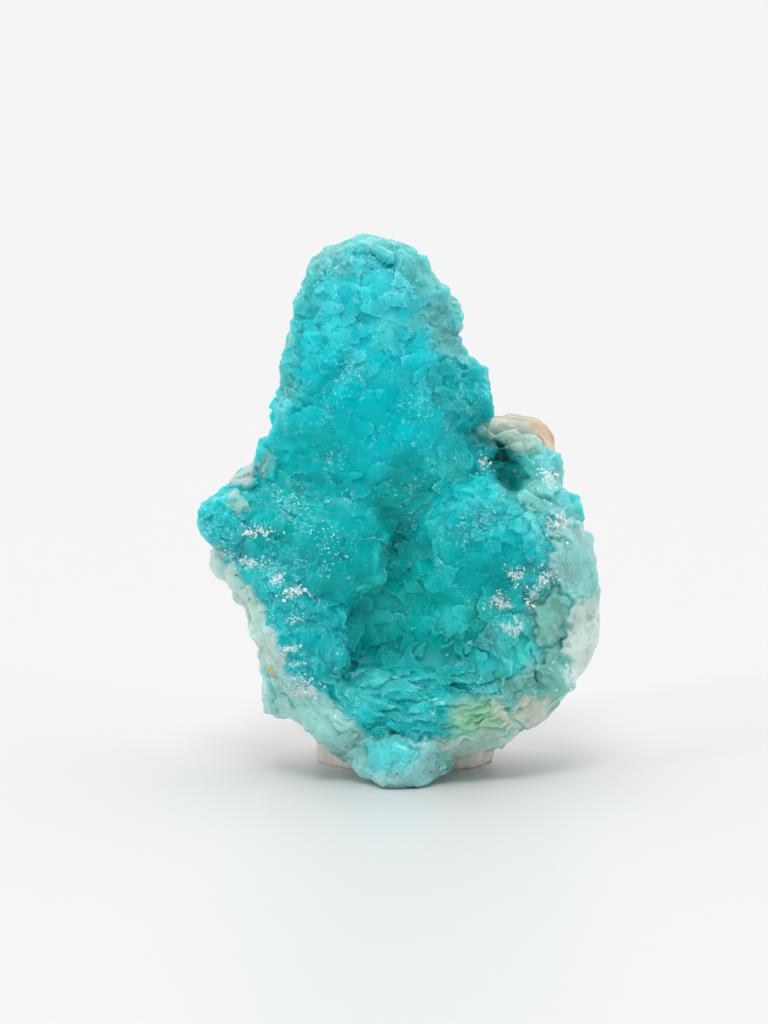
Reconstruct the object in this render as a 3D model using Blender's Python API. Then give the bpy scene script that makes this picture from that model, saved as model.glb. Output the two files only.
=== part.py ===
"""Smithsonite specimen: one blue-green crystal mass, grown over a piece of its host rock.

Lengths are millimetres until the mesh is made: X to the right, Y away from the viewer, Z up.
The finger, the wing, the boss and the bowl below them are lumps that grew into one body. The
body is trimmed to its broken outline, hollowed, faced with crystals and cut to the rock that
it grew on. The rock shows as a ledge, along the back and as the foot that the piece stands on.
"""

import math
import random

import bpy
import numpy as np
from mathutils import Matrix, Vector, kdtree

MM = 0.001

# Lumps of the crystal mass: centre, half sizes, lean about the Y axis in degrees
CRYSTAL_LUMPS = {
    # The finger, from its tip down to its root
    "tip": ((-2.9, 1.0, 46.8), (7.8, 6.6, 6.7), 0),
    "tip_left": ((-5.3, 1.0, 48.4), (3.6, 4.2, 3.6), 0),
    "tip_right": ((1.6, 1.0, 46.4), (4.2, 5.0, 4.6), 0),
    "neck": ((-3.2, 0.5, 41.0), (9.0, 7.2, 8.0), 0),
    "side_knob": ((5.2, 1.0, 37.9), (3.9, 4.8, 4.6), 0),
    "waist": ((-3.0, 0.0, 35.6), (9.6, 7.8, 8.5), 0),
    "root": ((-3.5, 0.5, 29.5), (11.4, 7.8, 8.5), 0),
    # The left wing and the nose that stands forward of the bowl
    "left_knob": ((-15.6, -2.0, 25.4), (4.6, 5.0, 3.7), 0),
    "left_shoulder": ((-11.0, -1.0, 24.5), (6.5, 7.0, 6.2), 0),
    "nose": ((-6.4, -5.4, 23.2), (5.0, 4.6, 6.4), 10),
    "left_rim": ((-10.0, -4.8, 15.5), (4.8, 5.4, 9.2), -10),
    "left_shell": ((-14.4, -1.0, 15.0), (3.6, 6.0, 10.0), -21),
    "left_corner": ((-12.2, -1.0, 7.0), (2.6, 4.5, 3.8), 0),
    "low_left_rim": ((-6.9, -4.6, 6.2), (5.2, 4.6, 3.8), 20),
    # The bowl, its floor and the tongue below it
    "bowl": ((1.0, 3.0, 18.0), (17.0, 7.5, 16.0), 0),
    "bowl_floor": ((0.5, -3.0, 7.0), (10.0, 8.0, 4.5), 0),
    "tongue": ((0.1, -7.2, 2.6), (4.4, 4.2, 3.1), 0),
    "tongue_right": ((4.6, -5.6, 4.4), (4.8, 4.0, 2.8), -24),
    # The boss and the pale rim round the right side
    "boss": ((8.4, -4.2, 23.0), (8.0, 6.2, 7.0), 0),
    "right_rim": ((14.6, -1.0, 23.6), (4.2, 5.4, 5.6), 0),
    "right_shell": ((16.2, -1.0, 16.8), (3.8, 5.8, 8.0), 0),
    "right_low": ((14.2, -1.5, 11.0), (4.6, 5.8, 5.6), 0),
    "low_right_rim": ((9.2, -4.0, 7.2), (6.6, 5.4, 4.2), -25),
    "right_inner": ((8.6, -3.2, 14.6), (7.8, 6.4, 8.8), 0),
    "pale_block": ((13.6, 2.5, 28.8), (2.9, 3.2, 3.6), 0),
    "ledge_coat": ((10.6, 3.2, 30.4), (5.2, 2.2, 3.6), 0),
    "pale_slab": ((-15.2, 2.0, 28.6), (3.2, 2.2, 1.7), -30),
}

# Hollows in the front of the mass, cut out before the crystals face it
HOLLOWS = {
    "bowl_upper": ((0.9, -15.5, 21.5), (3.8, 10.0, 9.0), 8),
    "bowl_lower": ((0.6, -17.0, 14.5), (7.2, 11.3, 7.6), 0),
    "bowl_right": ((4.8, -18.0, 13.0), (7.2, 11.0, 6.0), -15),
    "recess": ((10.7, -2.0, 31.4), (1.9, 3.6, 2.8), 0),
    "recess_throat": ((11.4, -4.0, 29.6), (1.4, 3.5, 1.6), 0),
}

# The outline that the mass was broken to, as (x, z) seen from the front, clockwise from the top
BROKEN_OUTLINE = (
    (-3.1, 54.7), (-1.2, 54.0), (1.4, 52.9), (3.0, 51.2), (4.6, 49.3), (5.6, 47.1), (6.2, 45.4),
    (5.5, 44.0), (7.0, 42.7), (8.3, 41.4), (8.9, 39.9), (8.7, 37.8), (8.9, 36.0), (12.2, 34.4),
    (15.6, 32.6), (16.1, 30.6), (16.5, 28.6), (17.7, 27.9), (18.1, 25.3), (19.3, 23.6),
    (19.6, 21.7), (19.7, 17.2), (19.5, 13.2), (19.0, 11.6), (17.6, 9.2), (16.8, 7.2), (15.2, 6.4),
    (15.1, 5.5), (13.6, 4.7), (11.4, 3.2), (8.8, 1.0), (4.4, -1.5), (0.0, -2.0), (-3.5, -1.5),
    (-7.2, 2.3), (-9.4, 4.2), (-10.4, 5.2), (-11.4, 6.0), (-12.9, 4.8), (-13.4, 8.0),
    (-13.3, 10.6), (-14.2, 13.8), (-15.6, 16.0), (-16.7, 18.4), (-18.6, 20.6), (-18.6, 22.8),
    (-19.6, 24.6), (-19.3, 27.0), (-17.8, 28.6), (-16.9, 29.5), (-14.4, 31.0), (-13.9, 32.9),
    (-12.9, 35.0), (-12.5, 37.2), (-11.3, 38.9), (-11.4, 41.6), (-10.7, 44.6), (-10.2, 47.2),
    (-8.9, 49.2), (-8.4, 51.6), (-7.2, 53.2), (-5.0, 54.0),
)
OUTLINE_DEPTH = 20.0
# The broken sides lean: they fall by this much for each millimetre towards the back
OUTLINE_LEAN = 0.14
# The crystals stand about this far outside the outline that the bare mass is cut to
OUTLINE_INSET = 0.55

# The host rock, which was there before the crystals: broken blocks, centre, half sizes, lean
ROCK_BLOCKS = {
    "slab": ((0.6, 8.0, 17.5), (17.0, 3.8, 19.0), 0),
    "slab_back": ((-1.5, 10.4, 14.5), (8.5, 3.2, 9.5), -14),
    "ledge": ((12.0, 7.6, 31.0), (6.0, 4.6, 5.0), -5),
    "left_edge": ((-11.0, 7.0, 29.0), (5.0, 3.6, 6.0), 8),
}
ROCK_FOOT = ((0.9, 6.2, 1.8), (8.4, 7.6, 4.6), 0)
# The outline of the rock from the front, clockwise from the left end of the ledge
ROCK_OUTLINE = (
    (8.4, 34.6), (10.1, 34.9), (12.1, 34.4), (14.9, 33.9), (15.6, 33.0), (15.6, 30.6),
    (15.3, 27.0), (16.2, 23.0), (16.0, 17.5), (14.4, 11.5), (11.8, 6.6), (9.6, 3.6), (9.6, -2.0),
    (-7.6, -2.0), (-8.0, 3.4), (-10.6, 7.2), (-12.2, 11.0), (-12.6, 15.5), (-15.0, 21.0),
    (-14.6, 26.0), (-14.0, 30.4), (-13.2, 33.0), (-10.6, 34.8), (-7.0, 33.4), (-2.0, 30.6),
    (3.0, 31.6), (6.5, 33.2),
)
ROCK_INSET = 0.8
ROCK_VOXEL = 0.6
ROCK_SMOOTHING = 6
ROCK_CHIP_SPACING = 5.0
ROCK_CHIP_HALF = (2.4, 4.2)
ROCK_CHIP_DEPTH = 1.0
ROCK_CHIP_SEED = 5
ROCK_TRIANGLES = 1600
# Light smoothing that takes the steps of the voxels off, after the trim and after the chips
ROCK_TRIM_SMOOTHING = 2
ROCK_CHIP_SMOOTHING = 1
# The bed in the crystal mass is this much larger than the rock all round
CONTACT_GAP = 0.45

# The crystals that face the mass: how far apart they stand, and how far they rise or fall
CRYSTAL_SPACING = 2.9
CRYSTAL_HALF = (1.2, 2.2)
CRYSTAL_RISE = 0.55
CRYSTAL_FALL = 0.4
CRYSTAL_SEED = 7
# Each point of the skin is tried against this many of the crystals nearest to it
TRIED_CRYSTALS = 8
# A face that runs along the normal more closely than this would never be left
LEAST_SLOPE = 1e-6
# The angle between a rhombohedron's long axis and each of its faces' normals
RHOMB_LEAN = math.radians(43.0)

SKIN_VOXEL = 0.45
SKIN_SMOOTHING = 10
HOLLOW_SMOOTHING = 3
SMOOTHING_SHARE = 0.5
CRYSTAL_TRIANGLES = 7000
# The tongue ends this far above the surface that the foot stands on
TONGUE_CLEARANCE = 0.1
GROUND_SIDE = 100.0

CRYSTAL_COLOUR = (0.03, 0.53, 0.55)
CRYSTAL_ROUGHNESS = 0.3
ROCK_COLOUR = (0.62, 0.53, 0.43)
ROCK_ROUGHNESS = 0.8


def placed(thing, centre, half_sizes, lean):
    """Gives a unit shape its size, lean and place in its mesh."""
    thing.data.transform(Matrix.Diagonal((*half_sizes, 1.0)))
    thing.data.transform(Matrix.Rotation(math.radians(lean), 4, "Y"))
    thing.data.transform(Matrix.Translation(centre))
    thing.data.transform(Matrix.Scale(MM, 4))
    return thing


def lump(*place):
    bpy.ops.mesh.primitive_ico_sphere_add(subdivisions=4, radius=1.0)
    return placed(bpy.context.object, *place)


def block(*place):
    bpy.ops.mesh.primitive_cube_add(size=2.0)
    return placed(bpy.context.object, *place)


def joined(name, shapes):
    bpy.ops.object.select_all(action="DESELECT")
    for one in shapes:
        one.select_set(True)
    bpy.context.view_layer.objects.active = shapes[0]
    bpy.ops.object.join()
    shapes[0].name = name
    return shapes[0]


def inset_outline(outline, inset):
    """The outline moved inwards: it runs clockwise, so inwards is to the right of each side."""
    moved = []
    for before, here, after in zip(outline[-1:] + outline[:-1], outline, outline[1:] + outline[:1]):
        side = Vector(after) - Vector(before)
        moved.append(Vector(here) + Vector((side.y, -side.x)).normalized() * inset)
    return moved


def prism(name, outline, depth, lean):
    """A closed block that has the outline on its front and its back."""
    count = len(outline)
    front = [(x * MM, -depth * MM, (z + lean * depth) * MM) for x, z in outline]
    back = [(x * MM, depth * MM, (z - lean * depth) * MM) for x, z in outline]
    sides = [(i, (i + 1) % count, (i + 1) % count + count, i + count) for i in range(count)]
    ends = [tuple(reversed(range(count))), tuple(range(count, 2 * count))]
    mesh = bpy.data.meshes.new(name)
    mesh.from_pydata(front + back, [], [*ends, *sides])
    block = bpy.data.objects.new(name, mesh)
    bpy.context.scene.collection.objects.link(block)
    return block


def settled(thing):
    """Bakes the modifiers into the mesh."""
    graph = bpy.context.evaluated_depsgraph_get()
    mesh = bpy.data.meshes.new_from_object(thing.evaluated_get(graph))
    thing.modifiers.clear()
    thing.data = mesh
    return thing


def skinned(thing, voxel, smoothing):
    """One closed skin over everything in the mesh, with its creases rounded."""
    remesh = thing.modifiers.new("Skin", "REMESH")
    remesh.mode = "VOXEL"
    remesh.voxel_size = voxel * MM
    smooth = thing.modifiers.new("Rounding", "SMOOTH")
    smooth.factor = SMOOTHING_SHARE
    smooth.iterations = smoothing
    return settled(thing)


def cut_with(thing, cutter, operation):
    cut = thing.modifiers.new(cutter.name, "BOOLEAN")
    cut.operation = operation
    cut.object = cutter
    cutter.hide_render = True
    cutter.display_type = "WIRE"
    settled(thing)
    bpy.data.objects.remove(cutter)
    return thing


def spaced_points(points, spacing, draw):
    """Points picked in a random order, each at least the spacing from those before it."""
    order = list(range(len(points)))
    draw.shuffle(order)
    taken = {}
    picked = []
    for index in order:
        cell = tuple(int(v // spacing) for v in points[index])
        near = (
            other
            for dx in (-1, 0, 1)
            for dy in (-1, 0, 1)
            for dz in (-1, 0, 1)
            for other in taken.get((cell[0] + dx, cell[1] + dy, cell[2] + dz), ())
        )
        if all(np.linalg.norm(points[index] - points[other]) >= spacing for other in near):
            taken.setdefault(cell, []).append(index)
            picked.append(index)
    return picked


def rhomb_normals(draw):
    """The three face directions of a rhombohedral crystal that lies any way round."""
    start = draw.uniform(0.0, math.tau)
    axis = Vector([draw.gauss(0.0, 1.0) for _ in range(3)]).normalized()
    tip = Vector((0.0, 0.0, 1.0)).rotation_difference(axis).to_matrix()
    flat, up = math.sin(RHOMB_LEAN), math.cos(RHOMB_LEAN)
    angles = [start + math.tau * third / 3 for third in range(3)]
    return [tuple(tip @ Vector((flat * math.cos(a), flat * math.sin(a), up))) for a in angles]


def faced_with_crystals(thing, spacing, half, rise, fall, seed):
    """Moves each point of the skin along its normal to the outermost crystal face over it."""
    draw = random.Random(seed)
    mesh = thing.data
    count = len(mesh.vertices)
    points = np.empty(count * 3, np.float32)
    normals = np.empty(count * 3, np.float32)
    mesh.vertices.foreach_get("co", points)
    mesh.vertex_normals.foreach_get("vector", normals)
    points = points.reshape(-1, 3).astype(float) / MM
    normals = normals.reshape(-1, 3).astype(float)
    picked = spaced_points(points, spacing, draw)
    centres = points[picked] - normals[picked] * sum(half) / 2
    faces = np.array([rhomb_normals(draw) for _ in picked])
    halves = np.array([[draw.uniform(*half) for _ in range(3)] for _ in picked])
    tree = kdtree.KDTree(len(picked))
    for index, centre in enumerate(centres):
        tree.insert(centre, index)
    tree.balance()
    near = np.array([[hit[1] for hit in tree.find_n(point, TRIED_CRYSTALS)] for point in points])
    height = np.full(count, -fall)
    for column in near.T:
        along = np.einsum("vkc,vc->vk", faces[column], normals)
        offset = np.einsum("vkc,vc->vk", faces[column], points - centres[column])
        along = np.where(np.abs(along) < LEAST_SLOPE, LEAST_SLOPE, along)
        leave = ((np.sign(along) * halves[column] - offset) / along).min(axis=1)
        enter = ((-np.sign(along) * halves[column] - offset) / along).max(axis=1)
        height = np.where((enter < leave) & (enter < rise), np.maximum(height, leave), height)
    points += normals * np.clip(height, -fall, rise)[:, None]
    mesh.vertices.foreach_set("co", (points * MM).astype(np.float32).ravel())
    mesh.update()
    return thing


def thinned(thing, triangles):
    mesh = thing.data
    mesh.calc_loop_triangles()
    thin = thing.modifiers.new("Fewer faces", "DECIMATE")
    thin.ratio = triangles / len(mesh.loop_triangles)
    return settled(thing)


def copied(thing, name):
    twin = bpy.data.objects.new(name, thing.data.copy())
    bpy.context.scene.collection.objects.link(twin)
    return twin


def swollen(thing, by):
    """Moves every point of the skin outwards."""
    normals = [vertex.normal.copy() for vertex in thing.data.vertices]
    for vertex, normal in zip(thing.data.vertices, normals):
        vertex.co += normal * by * MM
    return thing


def ground(height):
    """A block that fills everything below a height."""
    middle = (0.0, 0.0, (height - GROUND_SIDE / 2) * MM)
    bpy.ops.mesh.primitive_cube_add(size=GROUND_SIDE * MM, location=middle)
    return bpy.context.object


def rock():
    blocks = [block(*place) for place in ROCK_BLOCKS.values()]
    stone = skinned(joined("matrix", [*blocks, lump(*ROCK_FOOT)]), ROCK_VOXEL, ROCK_SMOOTHING)
    outline = inset_outline(ROCK_OUTLINE, ROCK_INSET)
    cut_with(stone, prism("rock outline", outline, OUTLINE_DEPTH, 0.0), "INTERSECT")
    skinned(stone, ROCK_VOXEL, ROCK_TRIM_SMOOTHING)
    chip = (ROCK_CHIP_SPACING, ROCK_CHIP_HALF, ROCK_CHIP_DEPTH, ROCK_CHIP_DEPTH, ROCK_CHIP_SEED)
    faced_with_crystals(stone, *chip)
    skinned(stone, ROCK_VOXEL, ROCK_CHIP_SMOOTHING)
    return thinned(stone, ROCK_TRIANGLES)


def crystal_mass(stone):
    lumps = [lump(*place) for place in CRYSTAL_LUMPS.values()]
    mass = skinned(joined("smithsonite", lumps), SKIN_VOXEL, SKIN_SMOOTHING)
    outline = inset_outline(BROKEN_OUTLINE, OUTLINE_INSET)
    cut_with(mass, prism("outline", outline, OUTLINE_DEPTH, OUTLINE_LEAN), "INTERSECT")
    hollows = [lump(*place) for place in HOLLOWS.values()]
    hollows = skinned(joined("hollows", hollows), SKIN_VOXEL, SKIN_SMOOTHING)
    cut_with(mass, hollows, "DIFFERENCE")
    skinned(mass, SKIN_VOXEL, HOLLOW_SMOOTHING)
    crystal = (CRYSTAL_SPACING, CRYSTAL_HALF, CRYSTAL_RISE, CRYSTAL_FALL, CRYSTAL_SEED)
    faced_with_crystals(mass, *crystal)
    cut_with(mass, swollen(copied(stone, "bed"), CONTACT_GAP), "DIFFERENCE")
    cut_with(mass, ground(TONGUE_CLEARANCE), "DIFFERENCE")
    skinned(mass, SKIN_VOXEL, 0)
    return thinned(mass, CRYSTAL_TRIANGLES)


def centred(things):
    """Moves the piece so that the middle of its footprint box is at the origin."""
    corners = [vertex.co for thing in things for vertex in thing.data.vertices]
    middle = [(min(c[axis] for c in corners) + max(c[axis] for c in corners)) / 2 for axis in (0, 1)]
    for thing in things:
        thing.data.transform(Matrix.Translation((-middle[0], -middle[1], 0.0)))
    print("footprint middle moved by", [round(value / MM, 3) for value in middle], "mm")


def finish(name, colour, roughness):
    material = bpy.data.materials.new(name)
    material.use_nodes = True
    shader = material.node_tree.nodes["Principled BSDF"]
    shader.inputs["Base Color"].default_value = (*colour, 1.0)
    shader.inputs["Roughness"].default_value = roughness
    return material


def main():
    for thing in list(bpy.data.objects):
        bpy.data.objects.remove(thing)
    stone = rock()
    mass = crystal_mass(stone)
    cut_with(stone, ground(0.0), "DIFFERENCE")
    centred((mass, stone))
    mass.data.materials.append(finish("smithsonite", CRYSTAL_COLOUR, CRYSTAL_ROUGHNESS))
    stone.data.materials.append(finish("matrix", ROCK_COLOUR, ROCK_ROUGHNESS))


main()
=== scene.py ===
# %% [markdown]
# # A smithsonite specimen
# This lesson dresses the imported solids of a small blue-green smithsonite on its host rock.
# The solids give the size and every main form: the finger, the bowl, the boss, the ledge and the foot.
# Here they get crystal faces, glassy rims, sugary patches and stone, and then light and a camera.

# %% Load the solids as a fixed frame
import math
from collections import namedtuple

import bpy
import numpy as np
from mathutils import Matrix, Vector
from mathutils.bvhtree import BVHTree
from mathutils.kdtree import KDTree


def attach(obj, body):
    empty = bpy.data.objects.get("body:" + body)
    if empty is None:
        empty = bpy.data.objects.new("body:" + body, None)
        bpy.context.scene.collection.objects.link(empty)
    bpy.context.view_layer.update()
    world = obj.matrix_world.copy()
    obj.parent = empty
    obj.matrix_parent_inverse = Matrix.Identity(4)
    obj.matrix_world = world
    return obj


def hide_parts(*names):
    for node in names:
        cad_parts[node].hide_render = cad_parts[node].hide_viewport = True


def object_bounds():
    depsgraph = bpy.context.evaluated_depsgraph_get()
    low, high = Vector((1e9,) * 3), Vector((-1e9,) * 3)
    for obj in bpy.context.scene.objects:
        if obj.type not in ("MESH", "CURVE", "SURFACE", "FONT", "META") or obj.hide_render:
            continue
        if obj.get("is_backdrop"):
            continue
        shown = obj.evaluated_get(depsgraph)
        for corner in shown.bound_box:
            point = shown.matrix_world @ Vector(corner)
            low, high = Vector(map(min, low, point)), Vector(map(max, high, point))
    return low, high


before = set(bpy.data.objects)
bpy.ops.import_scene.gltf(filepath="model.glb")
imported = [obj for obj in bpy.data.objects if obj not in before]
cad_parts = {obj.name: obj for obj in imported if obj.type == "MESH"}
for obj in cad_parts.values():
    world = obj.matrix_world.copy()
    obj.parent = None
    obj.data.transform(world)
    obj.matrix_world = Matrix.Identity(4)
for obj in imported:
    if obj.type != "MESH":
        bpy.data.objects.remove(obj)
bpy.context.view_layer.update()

# %% [markdown]
# Sizes below are in millimetres, as a collector would measure the piece.
# Blender works in metres here, so each size is multiplied by MM where it meets the mesh.
# The camera comes first, because several small features are placed by where they are seen from the front.

# %% Camera
MM = 0.001
CAMERA_RISE = math.radians(8)
CAMERA_DISTANCE = 600
CAMERA_AIM = Vector((-1.632, -1.429, 26.2))
SEEN_WIDTH = 76.8
SENSOR_WIDTH = 36
PICTURE_SHAPE = 1024 / 768

back_to_camera = Vector((0, -math.cos(CAMERA_RISE), math.sin(CAMERA_RISE)))
camera_place = CAMERA_AIM + back_to_camera * CAMERA_DISTANCE
bpy.ops.object.camera_add(
    location=camera_place * MM,
    rotation=(-back_to_camera).to_track_quat("-Z", "Y").to_euler(),
)
camera = bpy.context.object
camera.data.sensor_width = SENSOR_WIDTH
camera.data.lens = SENSOR_WIDTH * CAMERA_DISTANCE / (SEEN_WIDTH * PICTURE_SHAPE)
camera.data.clip_start = 0.01
bpy.context.scene.camera = camera
print("camera at", tuple(round(c, 1) for c in camera_place), "mm, lens", round(camera.data.lens, 1))


# %% [markdown]
# A front feature is given by two numbers: how far right of the middle it is seen, and how far above the
# floor. Both are read on an upright plane through the camera's aim. Points behind that plane are seen a
# little higher, by the slope of the line of sight.

# %% Where a point of the object is seen from the front
SIGHT_SLOPE = math.tan(CAMERA_RISE)


def seen_at(points):
    """Right and up, in millimetres, of points in metres as the front view shows them."""
    mm = points / MM
    near = 1 + (mm[:, 1] - CAMERA_AIM.y) / CAMERA_DISTANCE
    right = CAMERA_AIM.x + (mm[:, 0] - CAMERA_AIM.x) / near
    up = CAMERA_AIM.z + (mm[:, 2] + SIGHT_SLOPE * (mm[:, 1] - CAMERA_AIM.y) - CAMERA_AIM.z) / near
    return right, up


def fade(value, start, end):
    """0 before start, 1 after end, and smooth between them."""
    share = np.clip((value - start) / (end - start), 0, 1)
    return share * share * (3 - 2 * share)


def unit(vectors):
    return vectors / np.linalg.norm(vectors, axis=-1, keepdims=True)


# %% [markdown]
# Every new piece begins with nothing selected, because the loaded solids are still selected.
# A piece made from a solid is a copy of its mesh, and its loose triangles are merged before anything else.

# %% Selecting, copying and applying
def alone(thing):
    """Leaves only this thing selected and active."""
    bpy.ops.object.select_all(action="DESELECT")
    thing.select_set(True)
    bpy.context.view_layer.objects.active = thing
    return thing


def applied(thing, kind, **settings):
    """Adds one modifier to the thing, sets it and applies it."""
    alone(thing)
    modifier = thing.modifiers.new(kind.title(), kind)
    for name, value in settings.items():
        setattr(modifier, name, value)
    bpy.ops.object.modifier_apply(modifier=modifier.name)
    return thing


def copy_of_solid(node, name):
    """A merged copy of a solid's mesh, as a new object at the origin."""
    thing = bpy.data.objects.new(name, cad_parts[node].data.copy())
    bpy.context.scene.collection.objects.link(thing)
    thing.data.materials.clear()
    alone(thing)
    bpy.ops.object.mode_set(mode="EDIT")
    bpy.ops.mesh.select_all(action="SELECT")
    bpy.ops.mesh.remove_doubles(threshold=0.000001)
    bpy.ops.object.mode_set(mode="OBJECT")
    return thing


def corners_of(thing):
    """The thing's vertices as an array, in metres."""
    found = np.empty(len(thing.data.vertices) * 3, np.float32)
    thing.data.vertices.foreach_get("co", found)
    return found.reshape(-1, 3).astype(float)


def normals_of(thing):
    """The thing's vertex normals as an array."""
    found = np.empty(len(thing.data.vertices) * 3, np.float32)
    thing.data.vertex_normals.foreach_get("vector", found)
    return found.reshape(-1, 3).astype(float)


def put_corners(thing, points):
    """Moves the thing's vertices to the given points."""
    thing.data.vertices.foreach_set("co", points.astype(np.float32).ravel())
    thing.data.update()


def kept_above_floor(thing):
    """Flattens what reaches below the floor, so that the thing rests on it."""
    points = corners_of(thing)
    points[:, 2] = np.maximum(points[:, 2], 0)
    put_corners(thing, points)


# %% [markdown]
# A smooth copy of a crust is useful twice: crystals grow from it, and comparing a point with it tells
# whether the point lies on a ridge or in a groove. Averaging each vertex with its neighbours gives it.

# %% Averaging over neighbours
def neighbour_pairs(thing):
    found = np.empty(len(thing.data.edges) * 2, np.int32)
    thing.data.edges.foreach_get("vertices", found)
    return found.reshape(-1, 2)


def averaged(values, pairs, rounds):
    """Each row of values mixed with its neighbours' mean, again and again."""
    count = np.bincount(pairs.ravel(), minlength=len(values)).astype(float)
    count = np.maximum(count, 1)[:, None]
    for _ in range(rounds):
        total = np.empty_like(values)
        for axis in range(values.shape[1]):
            total[:, axis] = np.bincount(
                pairs[:, 0], weights=values[pairs[:, 1], axis], minlength=len(values)
            ) + np.bincount(pairs[:, 1], weights=values[pairs[:, 0], axis], minlength=len(values))
        values = 0.5 * values + 0.5 * total / count
    return values


# %% [markdown]
# The colour of the crust changes from place to place: pale at the finger's crown, partly as painted
# reflection of the light above, saturated at the waist, deep in the bowl, milky along the broken sides. The
# palette is a short list of named colours, written as a screen shows them and turned into the linear numbers
# that shaders use.

# %% Palette
def screen(red, green, blue):
    """A colour given by its 0 to 255 screen values, as linear numbers."""
    shown = np.array((red, green, blue)) / 255
    return np.where(shown <= 0.04045, shown / 12.92, ((shown + 0.055) / 1.055) ** 2.4)


AQUA = screen(0, 199, 208)
SEA = screen(0, 190, 194)
DEEP = screen(0, 191, 187)
MILKY = screen(198, 222, 211)
GLASSY = screen(92, 198, 197)
GREY_GREEN = screen(98, 170, 156)
OLIVE = screen(156, 206, 168)
BEIGE = screen(214, 220, 198)
FROST_AND_SHEEN = np.array((0.14, 0.42, 0.45))
print("aqua is", np.round(AQUA, 3), "in linear numbers")

# %% [markdown]
# A zone is an oval of the front view. It carries a colour, the size of its crystals, how far they stand out,
# how much paler their faces can be by frost and painted sheen, how cracked they are and how much painted
# glint they show.
# Later zones lie over earlier ones.

# %% Zones of the crust
Zone = namedtuple("Zone", "right up half_right half_up turn colour size relief pale cracks sparkle")
ZONES = {
    # The crown is paler partly as painted reflection of the light above.
    "crown": Zone(-3.0, 48.5, 9.5, 7.5, 0, screen(40, 198, 208), 1.5, 0.5, 0.9, 1.0, 0.4),
    "finger": Zone(-3.6, 42.5, 8.5, 5.5, 0, screen(0, 200, 210), 1.6, 0.4, 0.6, 0.6, 1.0),
    "waist": Zone(-3.0, 34.5, 10.5, 6.5, 0, AQUA, 2.6, 0.22, 0.04, 0.1, 1.0),
    "left of waist": Zone(-9.4, 31.0, 4.6, 5.5, 20, screen(0, 192, 195), 1.3, 0.3, 0.12, 0.1, 0.6),
    "side knob": Zone(6.2, 39.0, 3.4, 5.5, 0, screen(4, 180, 186), 1.5, 0.6, 0.35, 0.3, 0.6),
    "bowl": Zone(3.0, 19.5, 9.0, 12.5, 0, DEEP, 2.8, 0.45, 0.3, 0.4, 0.5),
    # Just under the finger the bowl is darker, as painted shade under its overhang.
    "bowl top painted shade": Zone(0.0, 27.0, 3.0, 4.5, 0, screen(0, 168, 167), 1.5, 0.3, 0.12, 0.1, 0.6),
    "boss ledge": Zone(8.4, 25.6, 6.4, 3.4, -10, screen(4, 185, 190), 1.3, 0.5, 0.4, 1.0, 0.7),
    "boss front": Zone(8.1, 20.6, 4.4, 3.4, 0, screen(0, 179, 182), 2.6, 0.15, 0.03, 0.15, 0.4),
    "nose": Zone(-6.2, 22.5, 4.4, 5.0, 0, screen(0, 178, 179), 2.4, 0.2, 0.04, 0.0, 0.7),
    "left slope": Zone(-12.2, 25.0, 5.5, 5.0, 0, screen(0, 181, 182), 1.3, 0.4, 0.2, 0.0, 1.0),
    "left knob": Zone(-17.4, 25.4, 2.8, 3.4, 0, screen(4, 184, 190), 1.0, 0.9, 0.7, 0.0, 1.0),
    "left wall": Zone(-10.0, 14.5, 3.4, 7.0, 8, screen(0, 184, 189), 1.2, 0.6, 0.4, 0.0, 1.0),
    "lower plates": Zone(2.0, 8.8, 9.5, 3.8, 0, screen(0, 178, 178), 2.8, 0.75, 0.9, 0.6, 0.8),
    "block": Zone(13.8, 29.8, 4.2, 3.6, 0, screen(68, 172, 165), 1.5, 0.6, 0.6, 0.3, 0.6),
    "ledge front": Zone(12.4, 33.8, 5.0, 1.8, -8, screen(168, 188, 170), 0.9, 0.9, 0.3, 0.0, 0.6),
    # The recess's dark teal is painted shade in the hollow beside the ledge.
    "recess": Zone(10.5, 30.6, 1.7, 2.9, 20, screen(0, 134, 130), 1.4, 0.5, 0.0, 0.0, 0.2),
    "right shoulder": Zone(15.0, 25.4, 3.2, 2.8, 0, screen(80, 202, 204), 1.0, 0.8, 1.0, 0.8, 1.0),
    "right green": Zone(15.0, 15.4, 2.8, 3.4, 0, GREY_GREEN, 1.2, 0.7, 0.6, 0.2, 0.6),
    "grey lobe": Zone(11.6, 11.0, 3.0, 4.0, 0, screen(58, 204, 200), 1.4, 0.5, 0.6, 0.3, 0.6),
    "right lobes": Zone(14.6, 9.0, 2.8, 3.4, 0, screen(116, 198, 190), 1.2, 0.7, 0.8, 0.0, 0.8),
    "olive foot": Zone(7.8, 5.2, 3.4, 2.6, 0, OLIVE, 1.3, 0.7, 0.5, 0.0, 0.4),
    "beige foot": Zone(12.2, 5.8, 3.2, 2.2, 0, BEIGE, 1.2, 0.7, 0.5, 0.0, 0.3),
    "pale plate": Zone(-0.9, 45.0, 1.5, 1.3, 30, screen(74, 208, 214), 1.5, 0.5, 0.6, 0.6, 0.4),
    "second pale plate": Zone(2.4, 45.4, 1.7, 1.1, 20, screen(96, 208, 210), 1.5, 0.5, 0.6, 0.6, 0.4),
    "cap plate": Zone(-6.6, 51.2, 2.2, 1.6, 10, screen(90, 198, 200), 1.5, 0.5, 0.5, 0.6, 0.2),
}


def wavering(right, up):
    """The same places moved about a little, so that outlines drawn with them are uneven."""
    return (
        right + 0.3 * np.sin(2.1 * up + 1.7 * np.sin(1.3 * right)) + 0.16 * np.sin(5.3 * up + 2.0 * right),
        up + 0.3 * np.sin(1.9 * right + 1.5 * np.sin(1.7 * up)) + 0.16 * np.sin(4.7 * right - 2.0 * up),
    )


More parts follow.
